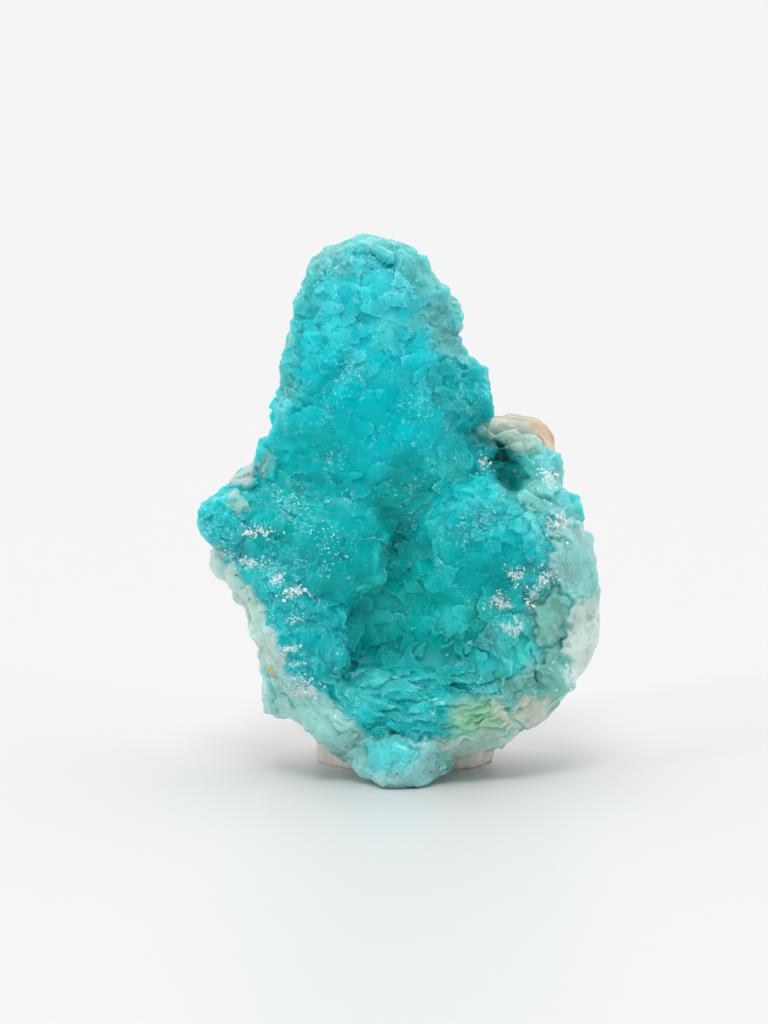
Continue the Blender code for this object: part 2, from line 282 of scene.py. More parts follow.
def in_oval(right, up, zone, soft):
    """How far inside an oval points lie: 1 in its middle, 0 outside, soft at its edge."""
    cosine, sine = math.cos(math.radians(zone.turn)), math.sin(math.radians(zone.turn))
    across = (right - zone.right) * cosine + (up - zone.up) * sine
    along = (up - zone.up) * cosine - (right - zone.right) * sine
    return 1 - fade(np.hypot(across / zone.half_right, along / zone.half_up), 1 - soft, 1 + soft * 0.5)


# %% [markdown]
# Down the right side the crust swells into smooth glassy lobes with crisp outlines, and at the bottom into a
# tongue. A lobe is a zone with a hard edge, and it stands a little out of the crust.

# %% Lobes
LOBES = {
    "tongue": Zone(-0.6, 0.4, 5.8, 3.2, 0, screen(166, 238, 234), 1.4, 0.6, 0.6, 0.5, 0.8),
    "tongue pane": Zone(-0.9, 1.6, 2.8, 1.9, 0, screen(98, 236, 240), 2.4, 0.25, 0.5, 0.5, 0.4),
    "upper pane": Zone(17.6, 21.6, 2.7, 4.6, 4, screen(152, 218, 210), 3.0, 0.1, 0.6, 0.3, 1.0),
    "white pane": Zone(18.3, 13.0, 2.1, 5.2, -4, screen(222, 240, 230), 2.0, 0.2, 0.6, 0.3, 1.0),
    "green lobe": Zone(15.2, 15.4, 1.8, 3.0, -12, screen(134, 198, 182), 1.2, 0.4, 0.6, 0.4, 1.0),
    "clear lobe": Zone(15.5, 9.4, 1.9, 3.2, -6, screen(132, 208, 192), 2.4, 0.15, 0.5, 0.2, 0.9),
    "low lobe": Zone(11.9, 8.0, 2.3, 1.9, 10, screen(120, 204, 190), 2.0, 0.2, 0.3, 0.1, 0.3),
    "beige lobe": Zone(13.3, 6.0, 2.2, 1.6, 30, BEIGE, 1.6, 0.3, 0.4, 0.1, 0.3),
    "milky slab": Zone(-15.8, 29.9, 2.0, 0.9, 24, screen(188, 214, 206), 2.0, 0.2, 0.4, 0.0, 0.2),
    "grey slab": Zone(-13.4, 30.9, 0.8, 1.3, -8, screen(84, 176, 172), 2.0, 0.2, 0.3, 0.0, 0.2),
    "milky spot": Zone(-16.3, 27.2, 0.9, 1.2, 0, screen(150, 206, 198), 1.0, 0.4, 0.6, 0.0, 0.8),
    "pale crystals": Zone(13.6, 27.8, 1.9, 1.5, 20, screen(112, 200, 190), 1.4, 0.4, 0.5, 0.1, 0.4),
    "mid lobe": Zone(9.6, 13.4, 2.2, 1.6, 30, screen(40, 186, 184), 2.0, 0.3, 0.4, 0.2, 0.4),
}
LOBE_RISE = 0.3
LOBE_SOFTNESS = 0.14

# %% [markdown]
# Along its broken sides the crust is thin, and there it turns pale and glassy. A rim is a line of the front
# view with a half width, and carries the same values as a zone.

# %% Rims of the crust
Rim = namedtuple("Rim", "path half_width colour size relief pale cracks sparkle")
RIMS = {
    "finger left": Rim(
        [(-8.3, 51.7), (-10.2, 47.6), (-11.4, 43.1), (-11.5, 40.0), (-11.2, 37.5)],
        1.2, screen(50, 198, 200), 1.2, 0.9, 0.5, 0.2, 0.2,
    ),
    "finger top": Rim(
        [(-8.3, 51.7), (-6.0, 53.4), (-4.0, 53.9), (0.5, 53.2)],
        1.5, GLASSY, 1.3, 0.9, 0.6, 0.2, 0.2,
    ),
    "finger right": Rim(
        [(0.5, 53.2), (3.0, 50.6), (4.8, 47.4), (5.6, 43.4)],
        2.3, GLASSY, 1.3, 0.8, 0.7, 0.4, 0.3,
    ),
    "left shell": Rim(
        [(-19.4, 20.6), (-16.8, 17.8), (-15.0, 14.2), (-13.5, 10.6), (-13.4, 8.0)],
        2.1, MILKY, 1.8, 0.3, 0.7, 0.3, 0.9,
    ),
    "lower left": Rim(
        [(-13.2, 8.2), (-10.4, 6.4), (-8.0, 4.8), (-6.2, 2.6), (-4.8, 1.6)],
        2.5, screen(168, 224, 214), 1.4, 0.5, 0.8, 0.3, 1.0,
    ),
    "right top": Rim(
        [(15.4, 33.0), (15.6, 27.8), (17.0, 23.6)],
        1.6, GLASSY, 1.1, 0.8, 1.0, 0.3, 1.0,
    ),
    "right edge": Rim(
        [(19.6, 23.0), (20.0, 18.0), (19.6, 12.0)],
        0.9, screen(160, 214, 208), 2.0, 0.3, 0.5, 0.2, 0.4,
    ),
    "right foot": Rim(
        [(18.4, 7.4), (15.4, 5.0), (12.6, 3.6), (9.5, 2.5), (6.4, 1.5), (4.2, 1.9)],
        1.7, screen(190, 216, 200), 1.2, 0.8, 0.6, 0.0, 0.6,
    ),
}
print(len(ZONES), "zones,", len(LOBES), "lobes and", len(RIMS), "rims")


def along_rim(right, up, rim, soft):
    """How far inside a rim points lie: 1 on its line, 0 outside its width."""
    nearest = np.full(len(right), np.inf)
    for (right_1, up_1), (right_2, up_2) in zip(rim.path, rim.path[1:]):
        run, climb = right_2 - right_1, up_2 - up_1
        share = np.clip(((right - right_1) * run + (up - up_1) * climb) / (run * run + climb * climb), 0, 1)
        nearest = np.minimum(nearest, np.hypot(right - right_1 - share * run, up - up_1 - share * climb))
    return 1 - fade(nearest / rim.half_width, 1 - soft, 1 + soft * 0.5)


# %% [markdown]
# What holds at one point is found by laying the zones over a plain sea green one by one, then the rims, and
# the lobes last. Zones and lobes belong to the front only, and rims go round to the back.

# %% What holds at a point of the crust
ZONE_SOFTNESS = 0.4
RIM_SOFTNESS = 0.2
PLAIN_REST = (1.4, 0.8, 0.4, 0.3, 0.5)


def zoned(points, facing):
    """Colour, size, relief, paleness, cracks and sparkle. facing is 1 where a point faces the front."""
    right, up = wavering(*seen_at(points))
    colour = np.tile(SEA, (len(points), 1))
    rest = np.tile(PLAIN_REST, (len(points), 1))
    shares = [(zone, in_oval(right, up, zone, ZONE_SOFTNESS) * facing) for zone in ZONES.values()]
    shares += [(rim, along_rim(right, up, rim, RIM_SOFTNESS)) for rim in RIMS.values()]
    shares += [(lobe, in_oval(right, up, lobe, LOBE_SOFTNESS) * facing) for lobe in LOBES.values()]
    for place, share in shares:
        share = share[:, None]
        colour += share * (place.colour - colour)
        rest += share * (np.array(place[-5:]) - rest)
    return colour, *rest.T


# %% [markdown]
# The crust is thousands of small rhombohedra grown together, each with flat faces.
# Booleans with that many crystals would take hours, so the crystals are kept as numbers: a middle, three face
# directions and three half sizes. A fine voxel skin of the solid is then pushed out along its normals to
# where the line leaves the furthest crystal. The skin takes on their flat faces, edges and steps.

# %% Places for plates and crystals
def scattered(points, spacing_of, random, tried=60000):
    """Indices of points picked at random, none closer than the spacing found at each, in metres."""
    widest = spacing_of.max()
    cells = {}
    picked = []
    order = random.permutation(len(points))[:tried]
    places = np.floor(points / widest).astype(int)
    for index in order:
        x, y, z = places[index]
        near = [
            other
            for i in (-1, 0, 1)
            for j in (-1, 0, 1)
            for k in (-1, 0, 1)
            for other in cells.get((x + i, y + j, z + k), ())
        ]
        if near:
            gaps = points[near] - points[index]
            if (np.einsum("ij,ij->i", gaps, gaps) < spacing_of[index] ** 2).any():
                continue
        cells.setdefault((x, y, z), []).append(index)
        picked.append(index)
    return np.array(picked)


# %% [markdown]
# The three pairs of faces of a rhombohedron are alike: the first direction turned about the crystal's axis by
# a third of a turn gives the second, and again the third.

# %% Faces of a crystal and the way out of it
RHOMB_LEAN = math.radians(43)
TILT_SPREAD = 0.6
TRIED_CRYSTALS = 8
LEAST_SLOPE = 1e-4


def face_directions(outward, tilt, random):
    """Three face directions for each crystal. The first is the outward one, leant by about the tilt."""
    first = unit(outward + random.normal(size=outward.shape) * np.tan(tilt)[:, None] * TILT_SPREAD)
    side = unit(np.cross(first, random.normal(size=outward.shape)))
    axis = first * math.cos(RHOMB_LEAN) + side * math.sin(RHOMB_LEAN)
    faces = [first]
    for turn in (math.tau / 3, 2 * math.tau / 3):
        along_axis = axis * np.sum(axis * first, axis=1, keepdims=True) * (1 - math.cos(turn))
        faces.append(first * math.cos(turn) + np.cross(axis, first) * math.sin(turn) + along_axis)
    return np.stack(faces, axis=1)


def way_out(points, normals, middles, faces, halves, which):
    """How far each point goes along its normal until it leaves its crystal, or minus infinity past it."""
    offset = points - middles[which]
    leaves = np.full(len(points), np.inf)
    enters = np.full(len(points), -np.inf)
    for pair in range(3):
        direction = faces[which, pair]
        slope = np.einsum("ij,ij->i", normals, direction)
        slope = np.where(np.abs(slope) < LEAST_SLOPE, LEAST_SLOPE, slope)
        height = np.einsum("ij,ij->i", offset, direction)
        half = halves[which, pair] * np.sign(slope)
        leaves = np.minimum(leaves, (half - height) / slope)
        enters = np.maximum(enters, (-half - height) / slope)
    return np.where(leaves > enters, leaves, -np.inf)


def grown(thing, points, normals, middles, faces, halves, rise, fall):
    """Pushes the thing's skin out along its normals to where they leave the furthest of its crystals."""
    tree = KDTree(len(middles))
    for index, middle in enumerate(middles):
        tree.insert(middle, index)
    tree.balance()
    near = np.array([[hit[1] for hit in tree.find_n(p, TRIED_CRYSTALS)] for p in points])
    furthest = np.full(len(points), -np.inf)
    for rank in range(TRIED_CRYSTALS):
        furthest = np.maximum(furthest, way_out(points, normals, middles, faces, halves, near[:, rank]))
    furthest = np.clip(furthest, -fall, rise)
    put_corners(thing, points + normals * furthest[:, None])


# %% [markdown]
# The skin starts from a copy of the smithsonite solid. A voxel remesh gives it even, fine squares. Averaging
# then takes away the solid's coarse triangles. It does so fully where the real crust is smooth as gel, and
# less where its crystals are bold or where the crust turns away and makes the outline.

# %% Fine skin of the crystal mass
SKIN_VOXEL = 0.15
FIRST_ROUNDS = 8
CALMING_ROUNDS = 150
NORMAL_ROUNDS = 12
SWELL_BACK = 0.05
SUNK_AT_SIDES = 0.35
mass = copy_of_solid("smithsonite", "crystal_mass")
applied(mass, "REMESH", mode="VOXEL", voxel_size=SKIN_VOXEL * MM)
pairs = neighbour_pairs(mass)
rough = averaged(corners_of(mass), pairs, FIRST_ROUNDS)
calm = averaged(rough, pairs, CALMING_ROUNDS)
put_corners(mass, calm)
calm_normals = unit(averaged(normals_of(mass), pairs, NORMAL_ROUNDS))
facing = fade(-calm_normals[:, 1] + SIGHT_SLOPE * calm_normals[:, 2], -0.6, -0.2)
_, size, relief, *_ = zoned(calm, facing)
edge_on = fade(np.abs(calm_normals[:, 0]), 0.7, 0.95)
size = size * (1 - 0.25 * edge_on)
kept = np.clip(0.05 + relief * 0.4 + edge_on * 0.6, 0, 1)[:, None]
skin = calm + (rough - calm) * kept + calm_normals * (SWELL_BACK - SUNK_AT_SIDES * edge_on[:, None]) * MM
print("skin has", len(skin), "vertices")

# %% Lobes raised from the skin
right, up = wavering(*seen_at(calm))
lobed = np.max([in_oval(right, up, lobe, LOBE_SOFTNESS) * facing for lobe in LOBES.values()], axis=0)
skin += calm_normals * (lobed * (1 - edge_on) * LOBE_RISE * MM)[:, None]
print(len(LOBES), "lobes cover", round(100 * float((lobed > 0.5).mean()), 1), "% of the skin")

# %% [markdown]
# In front the crust shows no whole crystals, only low plates with torn outlines, each leaning a little. They
# could be modelled one by one, but there are thousands, so they are numbers too: a place on the skin, a lean
# and a height. In the low part of the bowl the plates are wide and shallow like scales. Squeezing space
# before looking for the nearest plate gives them that shape.

# %% Places of the torn plates
random = np.random.default_rng(11)
SCALES = Zone(2.5, 8.4, 10.5, 5.4, 0, DEEP, 0, 0, 0, 0, 0)
VARIETY_ROUNDS = 50
scaly = in_oval(right, up, SCALES, 0.5) * facing
squeeze = np.stack((1 - 0.4 * scaly, 1 - 0.2 * scaly, 1.5 + 0.9 * scaly), axis=1)
variety = averaged(random.normal(size=(len(skin), 1)), pairs, VARIETY_ROUNDS)[:, 0]
spread = np.clip(1.05 + 0.35 * variety / variety.std(), 0.5, 1.9)
plate = scattered(skin * squeeze, size * spread * MM, random)
tree = KDTree(len(plate))
for number, index in enumerate(plate):
    tree.insert(skin[index] * squeeze[index], number)
tree.balance()
print(len(plate), "plates")

# %% [markdown]
# Every vertex finds its four nearest plates. It looks for them at a place pushed about by a smooth random
# field, which tears the outlines of the plates.

# %% Nearest plates of each vertex
PUSHED = 0.14
PUSH_ROUNDS = 14
RIVALS = 4
CREASE = 0.38
EDGE_WIDTH = 0.5


def pushed_about(points, pairs, reach):
    """The points moved by a random field that is smooth over some millimetres."""
    field = averaged(random.normal(size=points.shape), pairs, PUSH_ROUNDS)
    return points + field / field.std() * reach


lookup = pushed_about(skin * squeeze, pairs, PUSHED * MM)
nearby = [tree.find_n(point, RIVALS) for point in lookup]
rivals = np.array([[hit[1] for hit in hits] for hits in nearby])
reach = np.array([[hit[2] for hit in hits] for hits in nearby])
owner = rivals[:, 0]
weight = np.exp((reach[:, :1] ** 2 - reach**2) / (CREASE * MM) ** 2)
weight /= weight.sum(axis=1, keepdims=True)
edge_gap = np.clip((reach[:, 1] - reach[:, 0]) / (EDGE_WIDTH * MM), 0, 1)
print("a vertex lies", round(float(np.median(reach[:, 0])) / MM, 2), "mm from its plate's middle")

# %% [markdown]
# The planes of the four plates are blended, so that two plates meet in a crease and not in a cliff. The
# scales of the bowl lean so that their lower edges are raised.

# %% Planes of the plates
PLATE_LEAN = 14
SCALE_LEAN = 0.3
PLATE_RISE = 0.16
DEEPEST, HIGHEST = -0.15, 0.25
leaning = random.normal(size=(len(plate), 3))
plate_lean = np.radians(PLATE_LEAN) * leaning * np.clip(relief[plate], 0.1, 1.2)[:, None]
plate_lean[:, 2] -= SCALE_LEAN * scaly[plate]
plate_rise = PLATE_RISE * MM * relief[plate] * random.random(len(plate))
planes = [
    plate_rise[rival] + np.einsum("ij,ij->i", skin - skin[plate][rival], plate_lean[rival])
    for rival in rivals.T
]
step = np.sum(weight.T * planes, axis=0)
overlap = np.clip(0.5 + (planes[0] - planes[1]) / (0.2 * MM), 0, 1)
plated = skin + calm_normals * np.clip(step, DEEPEST * MM, HIGHEST * MM)[:, None]
print("plates rise from", DEEPEST, "to", HIGHEST, "mm")

# %% [markdown]
# Along the outline and on the knobs single rhombohedra do show. They are kept where the crust is bold or seen
# edge-on, and fade into the plates elsewhere.

# %% Rhombohedra along the edges
RHOMB_SPACING = 0.75
LEAST_TILT, TILT_RANGE = 8, 34
RHOMB_RISE = 0.6
RHOMB_HALVES = (0.5, 0.7, 0.7), (0.8, 1.5, 1.5)
RHOMB_HIGHEST, RHOMB_DEEPEST = 0.8, 0.1
bold = np.clip(edge_on + fade(relief, 0.75, 1.0) * 0.5, 0, 1)
first = scattered(plated, size * RHOMB_SPACING * MM, random)
first_tilt = np.radians(LEAST_TILT + TILT_RANGE * random.random(len(first)))
first_faces = face_directions(calm_normals[first], first_tilt, random)
first_halves = size[first, None] * MM * random.uniform(*RHOMB_HALVES, (len(first), 3))
first_rise = RHOMB_RISE * MM * random.random(len(first)) ** 1.5
first_middles = plated[first] + calm_normals[first] * (first_rise - first_halves[:, 0])[:, None]
rhomb_clip = (RHOMB_HIGHEST * MM, RHOMB_DEEPEST * MM)
grown(mass, plated, calm_normals, first_middles, first_faces, first_halves, *rhomb_clip)
put_corners(mass, plated + (corners_of(mass) - plated) * bold[:, None])
print(len(first), "rhombohedra")

# %% [markdown]
# On the crown, on the left wing and down the right side larger cleavage blocks stand out of the crust.
# Each is set by where it is seen, its width and height there, how far it leans and how far it is turned.

# %% Large cleavage blocks
Block = namedtuple("Block", "right up wide high lean turn")
BLOCKS = [
    Block(-2.2, 52.9, 3.6, 1.1, 20, -28),
    Block(-15.7, 29.6, 3.4, 1.4, 15, 24),
    Block(-17.6, 28.0, 1.6, 1.2, 25, 50),
    Block(-13.4, 30.9, 1.2, 2.4, 15, -8),
    Block(13.7, 30.4, 1.8, 2.2, 10, 10),
    Block(14.6, 28.6, 1.8, 1.4, 15, -20),
    Block(15.6, 26.6, 2.2, 1.4, 15, -35),
    Block(16.6, 24.6, 2.2, 1.2, 10, -30),
    Block(15.4, 24.4, 1.8, 0.8, 20, -15),
    Block(-13.8, 8.4, 1.6, 2.6, 15, 5),
    Block(-12.2, 7.0, 2.2, 1.2, 15, -10),
]
print(len(BLOCKS), "blocks")

# %% [markdown]
# A block is looked for where the line of sight first meets the skin. Its long side runs across the view,
# turned by the given angle, and its end faces are skewed as those of a rhombohedron are.

# %% Blocks on the skin
BLOCK_RISE = 0.6
BLOCK_OUT = 0.25
BLOCK_DEPTH = 0.6
END_SKEW = 0.27
SEARCHED = 0.5
upper_skin = corners_of(mass)
skin_right, skin_up = seen_at(upper_skin)
picked = []
for block in BLOCKS:
    near = np.flatnonzero(np.hypot(skin_right - block.right, skin_up - block.up) < SEARCHED)
    picked.append(near[np.argmin(upper_skin[near, 1])])
outward = calm_normals[picked]
turn, lean = np.radians([(block.turn, block.lean) for block in BLOCKS]).T[:, :, None]
upward = unit((0.0, 0.0, 1.0) - outward * outward[:, 2:])
sideways = np.cross(upward, outward)
long_way = sideways * np.cos(turn) + upward * np.sin(turn)
short_way = upward * np.cos(turn) - sideways * np.sin(turn)
block_faces = np.stack(
    (unit(outward + short_way * np.tan(lean)), unit(long_way + END_SKEW * short_way), short_way), axis=1
)
block_halves = np.array(
    [(BLOCK_DEPTH * min(block.wide, block.high), 0.5 * block.wide, 0.5 * block.high) for block in BLOCKS]
)
block_middles = upper_skin[picked] + outward * (BLOCK_OUT - block_halves[:, :1]) * MM
grown(mass, upper_skin, calm_normals, block_middles, block_faces, block_halves * MM, BLOCK_RISE * MM, 0.0)
kept_above_floor(mass)
print("blocks rise by up to", BLOCK_RISE, "mm")

# %% [markdown]
# White sugar lies on the crust in patches. A patch is an oval of the front view too: the crust turns white
# there in small spots, and later grains are set on it.

# %% Sugar patches
Patch = namedtuple("Patch", "right up half_right half_up turn count smallest largest white")
SUGAR = [
    Patch(-14.3, 24.2, 1.8, 0.8, -5, 70, 0.2, 0.6, 0.8),
    Patch(-15.2, 21.2, 3.2, 0.8, -16, 110, 0.15, 0.45, 0.8),
    Patch(-12.4, 19.5, 1.0, 0.9, -30, 40, 0.2, 0.5, 0.8),
    Patch(-10.7, 18.0, 1.5, 0.6, 12, 50, 0.2, 0.6, 0.8),
    Patch(-10.6, 15.3, 1.7, 0.5, 6, 34, 0.15, 0.35, 0.6),
    Patch(-11.0, 12.4, 1.5, 0.35, 8, 46, 0.2, 0.5, 0.8),
    Patch(-10.4, 10.8, 1.4, 0.3, 4, 24, 0.15, 0.4, 0.6),
    Patch(-9.8, 8.3, 2.2, 1.3, -10, 110, 0.15, 0.5, 0.8),
    Patch(-12.8, 14.5, 0.6, 5.0, 4, 40, 0.12, 0.3, 0.35),
    Patch(-7.2, 23.2, 1.7, 2.1, 0, 50, 0.12, 0.3, 0.3),
    Patch(-11.0, 27.0, 1.5, 1.2, 0, 30, 0.12, 0.25, 0.45),
    Patch(11.5, 19.7, 1.2, 1.1, -20, 46, 0.15, 0.5, 0.8),
    Patch(10.0, 17.2, 1.7, 1.0, 0, 56, 0.15, 0.5, 0.8),
    Patch(13.1, 17.5, 0.8, 1.2, 0, 50, 0.2, 0.6, 0.8),
    Patch(14.8, 19.7, 1.1, 1.5, -35, 70, 0.2, 0.6, 0.8),
    Patch(11.2, 14.6, 1.6, 1.2, 0, 24, 0.12, 0.3, 0.8),
    Patch(16.0, 25.2, 2.0, 1.3, -20, 50, 0.2, 0.7, 0.8),
    Patch(8.6, 31.0, 0.9, 1.3, 0, 26, 0.15, 0.45, 0.8),
    Patch(14.9, 29.6, 1.4, 1.2, -30, 40, 0.2, 0.6, 0.8),
    Patch(17.5, 9.5, 1.8, 2.6, 10, 60, 0.15, 0.45, 0.8),
    Patch(-0.2, 3.4, 4.6, 0.5, 0, 20, 0.1, 0.25, 0.3),
]
print(len(SUGAR), "sugar patches")

# %% [markdown]
# The colour of the crust could be painted by hand. Here it is worked out, so that it follows the shape: each
# vertex takes the colour of its zone, some plates are frosted over with a pale veil that is partly painted
# reflection, ridges get a painted highlight, and grooves and hollows get painted shade. Frost and highlight
# are laid on as a screen of light is, and shade as a filter is, so neither changes the hue.

# %% Colour of the crust
RIDGE_ROUNDS = 5
SWELL_ROUNDS = 60
FROSTED_PLATE = 0.42
GROOVE_SHADE = np.array((0.9, 0.4, 0.4))
final = corners_of(mass)
normals_now = normals_of(mass)
right, up = wavering(*seen_at(final))
ridge = np.einsum("ij,ij->i", final - averaged(final, pairs, RIDGE_ROUNDS), normals_now) / MM
swell = np.einsum("ij,ij->i", final - averaged(final, pairs, SWELL_ROUNDS), calm_normals) / MM
colour, _, _, pale, cracks, sparkle = zoned(final, facing)
plate_tone = random.random(len(plate))[owner]
# Painted sheen on some frosted plates and painted highlight on ridges, laid on as a pale veil.
frost_sheen_and_ridge_highlight = FROSTED_PLATE * fade(plate_tone, 0.55, 0.7) * pale
frost_sheen_and_ridge_highlight += np.clip(ridge * 8.0, 0, 0.3) * (0.1 + 0.9 * pale)
frost_sheen_and_ridge_highlight = np.clip(frost_sheen_and_ridge_highlight, 0, 0.5)[:, None]
colour = 1 - (1 - colour) * (1 - frost_sheen_and_ridge_highlight * FROST_AND_SHEEN)
# Painted shade in grooves and broad hollows.
groove = np.clip(-ridge * 8.0, 0, 0.4) + np.clip(-swell * 0.3, 0, 0.12)
colour *= 1 - groove[:, None] * GROOVE_SHADE
print("ridge", np.percentile(ridge, (1, 50, 99)), "swell", np.percentile(swell, (1, 50, 99)))

# %% Lobe outlines, white patches and glassy rims
LOBE_LINE = np.array((0.5, 0.3, 0.32))
outline = np.zeros(len(final))
for lobe in LOBES.values():
    share = in_oval(right, up, lobe, LOBE_SOFTNESS) * facing
    outline = np.maximum(outline, 4 * share * (1 - share))
colour *= 1 - outline[:, None] * LOBE_LINE
white = np.zeros(len(final))
for patch in SUGAR:
    white = np.maximum(white, patch.white * in_oval(right, up, patch, 0.6) * facing)
glass = np.zeros(len(final))
for rim in RIMS.values():
    glass = np.maximum(glass, along_rim(right, up, rim, 0.5))
for lobe in LOBES.values():
    glass = np.maximum(glass, in_oval(right, up, lobe, 0.3) * facing)
print(round(100 * float((glass > 0.5).mean()), 1), "% of the crust is glassy")

# %% [markdown]
# A material can read numbers that are stored at the vertices. Each colour attribute has room for four: three
# as red, green and blue, and one as alpha. The skin is then thinned to a size that is quick to pass on, and
# its edges sharper than 30 degrees are kept crisp.

# %% Numbers stored for the material
TRIANGLE_LIMIT = 190000


def paint(thing, name, values):
    """Stores up to four numbers for each vertex, in a colour attribute that the material reads."""
    layer = thing.data.color_attributes.new(name, "FLOAT_COLOR", "POINT")
    full = np.ones((len(values), 4), np.float32)
    full[:, : values.shape[1]] = values
    layer.data.foreach_set("color", full.ravel())


paint(mass, "tint", np.column_stack((colour, overlap)))
paint(mass, "build", np.stack((glass, relief, scaly, edge_gap), axis=1))
paint(mass, "habit", np.stack((pale, cracks, sparkle, white), axis=1))
triangles = 2 * len(mass.data.polygons)
applied(mass, "DECIMATE", ratio=min(1.0, TRIANGLE_LIMIT / triangles))
alone(mass)
bpy.ops.object.shade_smooth_by_angle(angle=math.radians(30))
print("crystal mass:", len(mass.data.polygons), "faces, from", triangles)

# %% [markdown]
# Node trees are easiest to read as sums. Value wraps a socket, so that adding or multiplying two values adds
# a Math node and links it. Nodes holds a tree while it is built.


# %% Shader maths as expressions
class Value:
    """Wraps a socket, so that an expression on values adds its Math nodes."""

    def __init__(self, tree, socket):
        self.tree = tree
        self.socket = socket

    def math(self, operation, *others, swap=False):
        inputs = [self, *others]
        if swap:
            inputs.reverse()
        node = self.tree.nodes.new("ShaderNodeMath")
        node.operation = operation
        for place, one in zip(node.inputs, inputs):
            if isinstance(one, Value):
                self.tree.links.new(one.socket, place)
            else:
                place.default_value = one
        return Value(self.tree, node.outputs[0])

    def __add__(self, other):
        return self.math("ADD", other)

    def __mul__(self, other):
        return self.math("MULTIPLY", other)

    def __sub__(self, other):
        return self.math("SUBTRACT", other)

    def __rsub__(self, other):
        return self.math("SUBTRACT", other, swap=True)

    def __truediv__(self, other):
        return self.math("DIVIDE", other)

    def clamped(self):
        return self.math("MINIMUM", 1.0).math("MAXIMUM", 0.0)

    def risen(self, start, width):
        """0 below start, 1 above start + width, straight between."""
        return ((self - start) / width).clamped()

    def fallen(self, width):
        """1 at 0, 0 from the width on, straight between."""
        return (1.0 - self / width).clamped()

    def near(self, middle, width):
        """1 at the middle, 0 from the width on to both sides of it."""
        return (self - middle).math("ABSOLUTE").fallen(width)


class Nodes:
    """A node tree being built: add() makes a node from its type, settings and socket values."""

    def __init__(self, owner):
        owner.use_nodes = True
        self.owner = owner
        self.tree = owner.node_tree
        self.tree.nodes.clear()

    def add(self, kind, settings=None, numbered=None, **sockets):
        node = self.tree.nodes.new(kind)
        for name, value in (settings or {}).items():
            setattr(node, name, value)
        for number, value in (numbered or {}).items():
            self.put(node, number, value)
        for name, value in sockets.items():
            self.put(node, name.replace("_", " "), value)
        return node

    def put(self, node, name, value):
        socket = node.inputs[name]
        if isinstance(value, Value):
            self.tree.links.new(value.socket, socket)
        elif isinstance(value, bpy.types.NodeSocket):
            self.tree.links.new(value, socket)
        else:
            socket.default_value = value

    def value(self, node, output=0):
        return Value(self.tree, node.outputs[output])

    def stored(self, name):
        """The four numbers of one colour attribute."""
        kept = self.add("ShaderNodeAttribute", {"attribute_name": name})
        parts = self.add("ShaderNodeSeparateColor", Color=kept.outputs["Color"])
        return [self.value(parts, part) for part in ("Red", "Green", "Blue")] + [self.value(kept, "Alpha")]

    def noise(self, where, scale, detail, **more):
        """Soft random grain of the given fineness, about 0.5 on average."""
        return self.value(self.add("ShaderNodeTexNoise", Vector=where, Scale=scale, Detail=detail, **more))

    def vector_math(self, operation, *inputs):
        return self.add("ShaderNodeVectorMath", {"operation": operation}, dict(enumerate(inputs)))

    def mixed(self, share, one, other, blend="MIX"):
        """Colour one where share is 0, and where it is 1 the two blended: mixed, multiplied or screened."""
        settings = {"data_type": "RGBA", "blend_type": blend}
        return self.add("ShaderNodeMix", settings, {0: share, 6: one, 7: other}).outputs[2]

    def ended(self, shader, kind="ShaderNodeOutputMaterial"):
        """Joins the shader to the tree's output and returns the material or world."""
        self.tree.links.new(shader, self.add(kind).inputs["Surface"])
        return self.owner


# %% [markdown]
# Smithsonite is a cloudy crystal: light enters it, wanders and comes out coloured. Its look could be painted
# on a hard surface, but then the thin rims would not glow. So the body is a gel with subsurface scattering,
# and the fine features are a colour that is built up in layers over the stored one: cells, frost with a
# painted sheen, shade, cracks, painted lit edges, lace, sugar and painted glints. The cells are those of a
# warped space, so their outlines are torn.

# %% Numbers and cells of the crystal material
crystal = Nodes(bpy.data.materials.new("smithsonite_crystal"))
where = crystal.add("ShaderNodeTexCoord").outputs["Object"]
tint = crystal.add("ShaderNodeAttribute", {"attribute_name": "tint"})
overlap = crystal.value(tint, "Alpha")
glass_share, relief_share, scaly_share, edge_gap = crystal.stored("build")
pale_share, crack_share, sparkle_share, white_share = crystal.stored("habit")


def cell_pattern(nodes, where, scale, stretch=(1.0, 1.0, 1.0)):
    """For each cell of a space: a number, the distance to its edge, and a slope across it."""
    place = nodes.add("ShaderNodeMapping", Vector=where, Scale=stretch).outputs[0]
    cell = nodes.add("ShaderNodeTexVoronoi", Vector=place, Scale=scale)
    edge = nodes.add("ShaderNodeTexVoronoi", {"feature": "DISTANCE_TO_EDGE"}, Vector=place, Scale=scale)
    lean = nodes.vector_math("SUBTRACT", cell.outputs["Color"], (0.5, 0.5, 0.5))
    offset = nodes.vector_math("SUBTRACT", place, cell.outputs["Position"])
    slope = nodes.vector_math("DOT_PRODUCT", lean.outputs[0], offset.outputs[0])
    number = nodes.value(nodes.add("ShaderNodeSeparateColor", Color=cell.outputs["Color"]), "Red")
    return number, nodes.value(edge), nodes.value(slope, "Value") * scale


